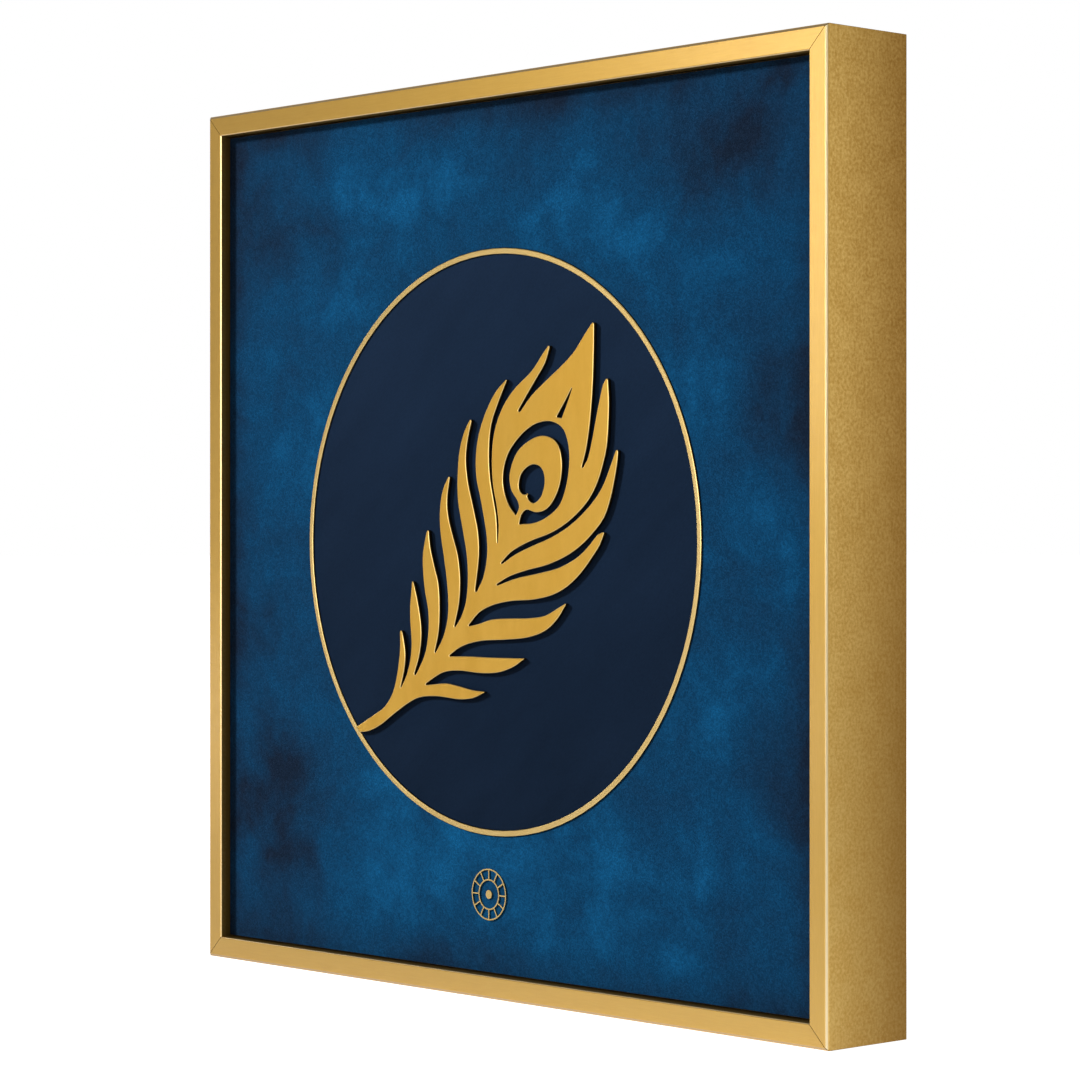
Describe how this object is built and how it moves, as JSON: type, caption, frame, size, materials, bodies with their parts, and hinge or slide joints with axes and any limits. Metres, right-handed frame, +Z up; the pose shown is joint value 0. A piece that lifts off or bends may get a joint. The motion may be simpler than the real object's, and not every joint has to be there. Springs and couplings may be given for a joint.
{
  "type": "framed feather relief wall picture",
  "caption": "Deep square gilt frame around a blue panel with a ringed navy disc, on which a stylised feather cut from gold-coloured plate stands in low relief.",
  "frame": {"origin": "middle of the frame's underside, on the surface it stands on", "axes": "+Z up, the picture faces -Y, +X to the right as seen from the front"},
  "size_m": [0.5, 0.0584, 0.5],
  "materials": {
    "gold_moulding": "brushed gold leaf over wood, satin",
    "blue_panel": "mottled blue flocked board, matt",
    "navy_disc": "navy fine-grained board, matt",
    "gold_plate": "satin gold-coloured metal plate",
    "hardboard": "plain brown hardboard",
    "zinc_fittings": "zinc plated"
  },
  "bodies": {
    "root": {"frame_rail_top": "gold_moulding", "frame_stile_right": "gold_moulding", "frame_rail_bottom": "gold_moulding", "frame_stile_left": "gold_moulding", "art_panel": "blue_panel", "medallion_disc": "navy_disc", "medallion_ring": "gold_plate", "feather": "gold_plate", "ornament": "gold_plate", "ornament_dot": "gold_plate", "backing_board": "hardboard", "hanger_left": "zinc_fittings", "hanger_right": "zinc_fittings", "board_screw_1": "zinc_fittings", "board_screw_2": "zinc_fittings", "board_screw_3": "zinc_fittings", "board_screw_4": "zinc_fittings", "board_screw_5": "zinc_fittings", "board_screw_6": "zinc_fittings", "board_screw_7": "zinc_fittings", "board_screw_8": "zinc_fittings", "hanger_left_screw_1": "zinc_fittings", "hanger_left_screw_2": "zinc_fittings", "hanger_right_screw_1": "zinc_fittings", "hanger_right_screw_2": "zinc_fittings"}
  },
  "joints": []
}
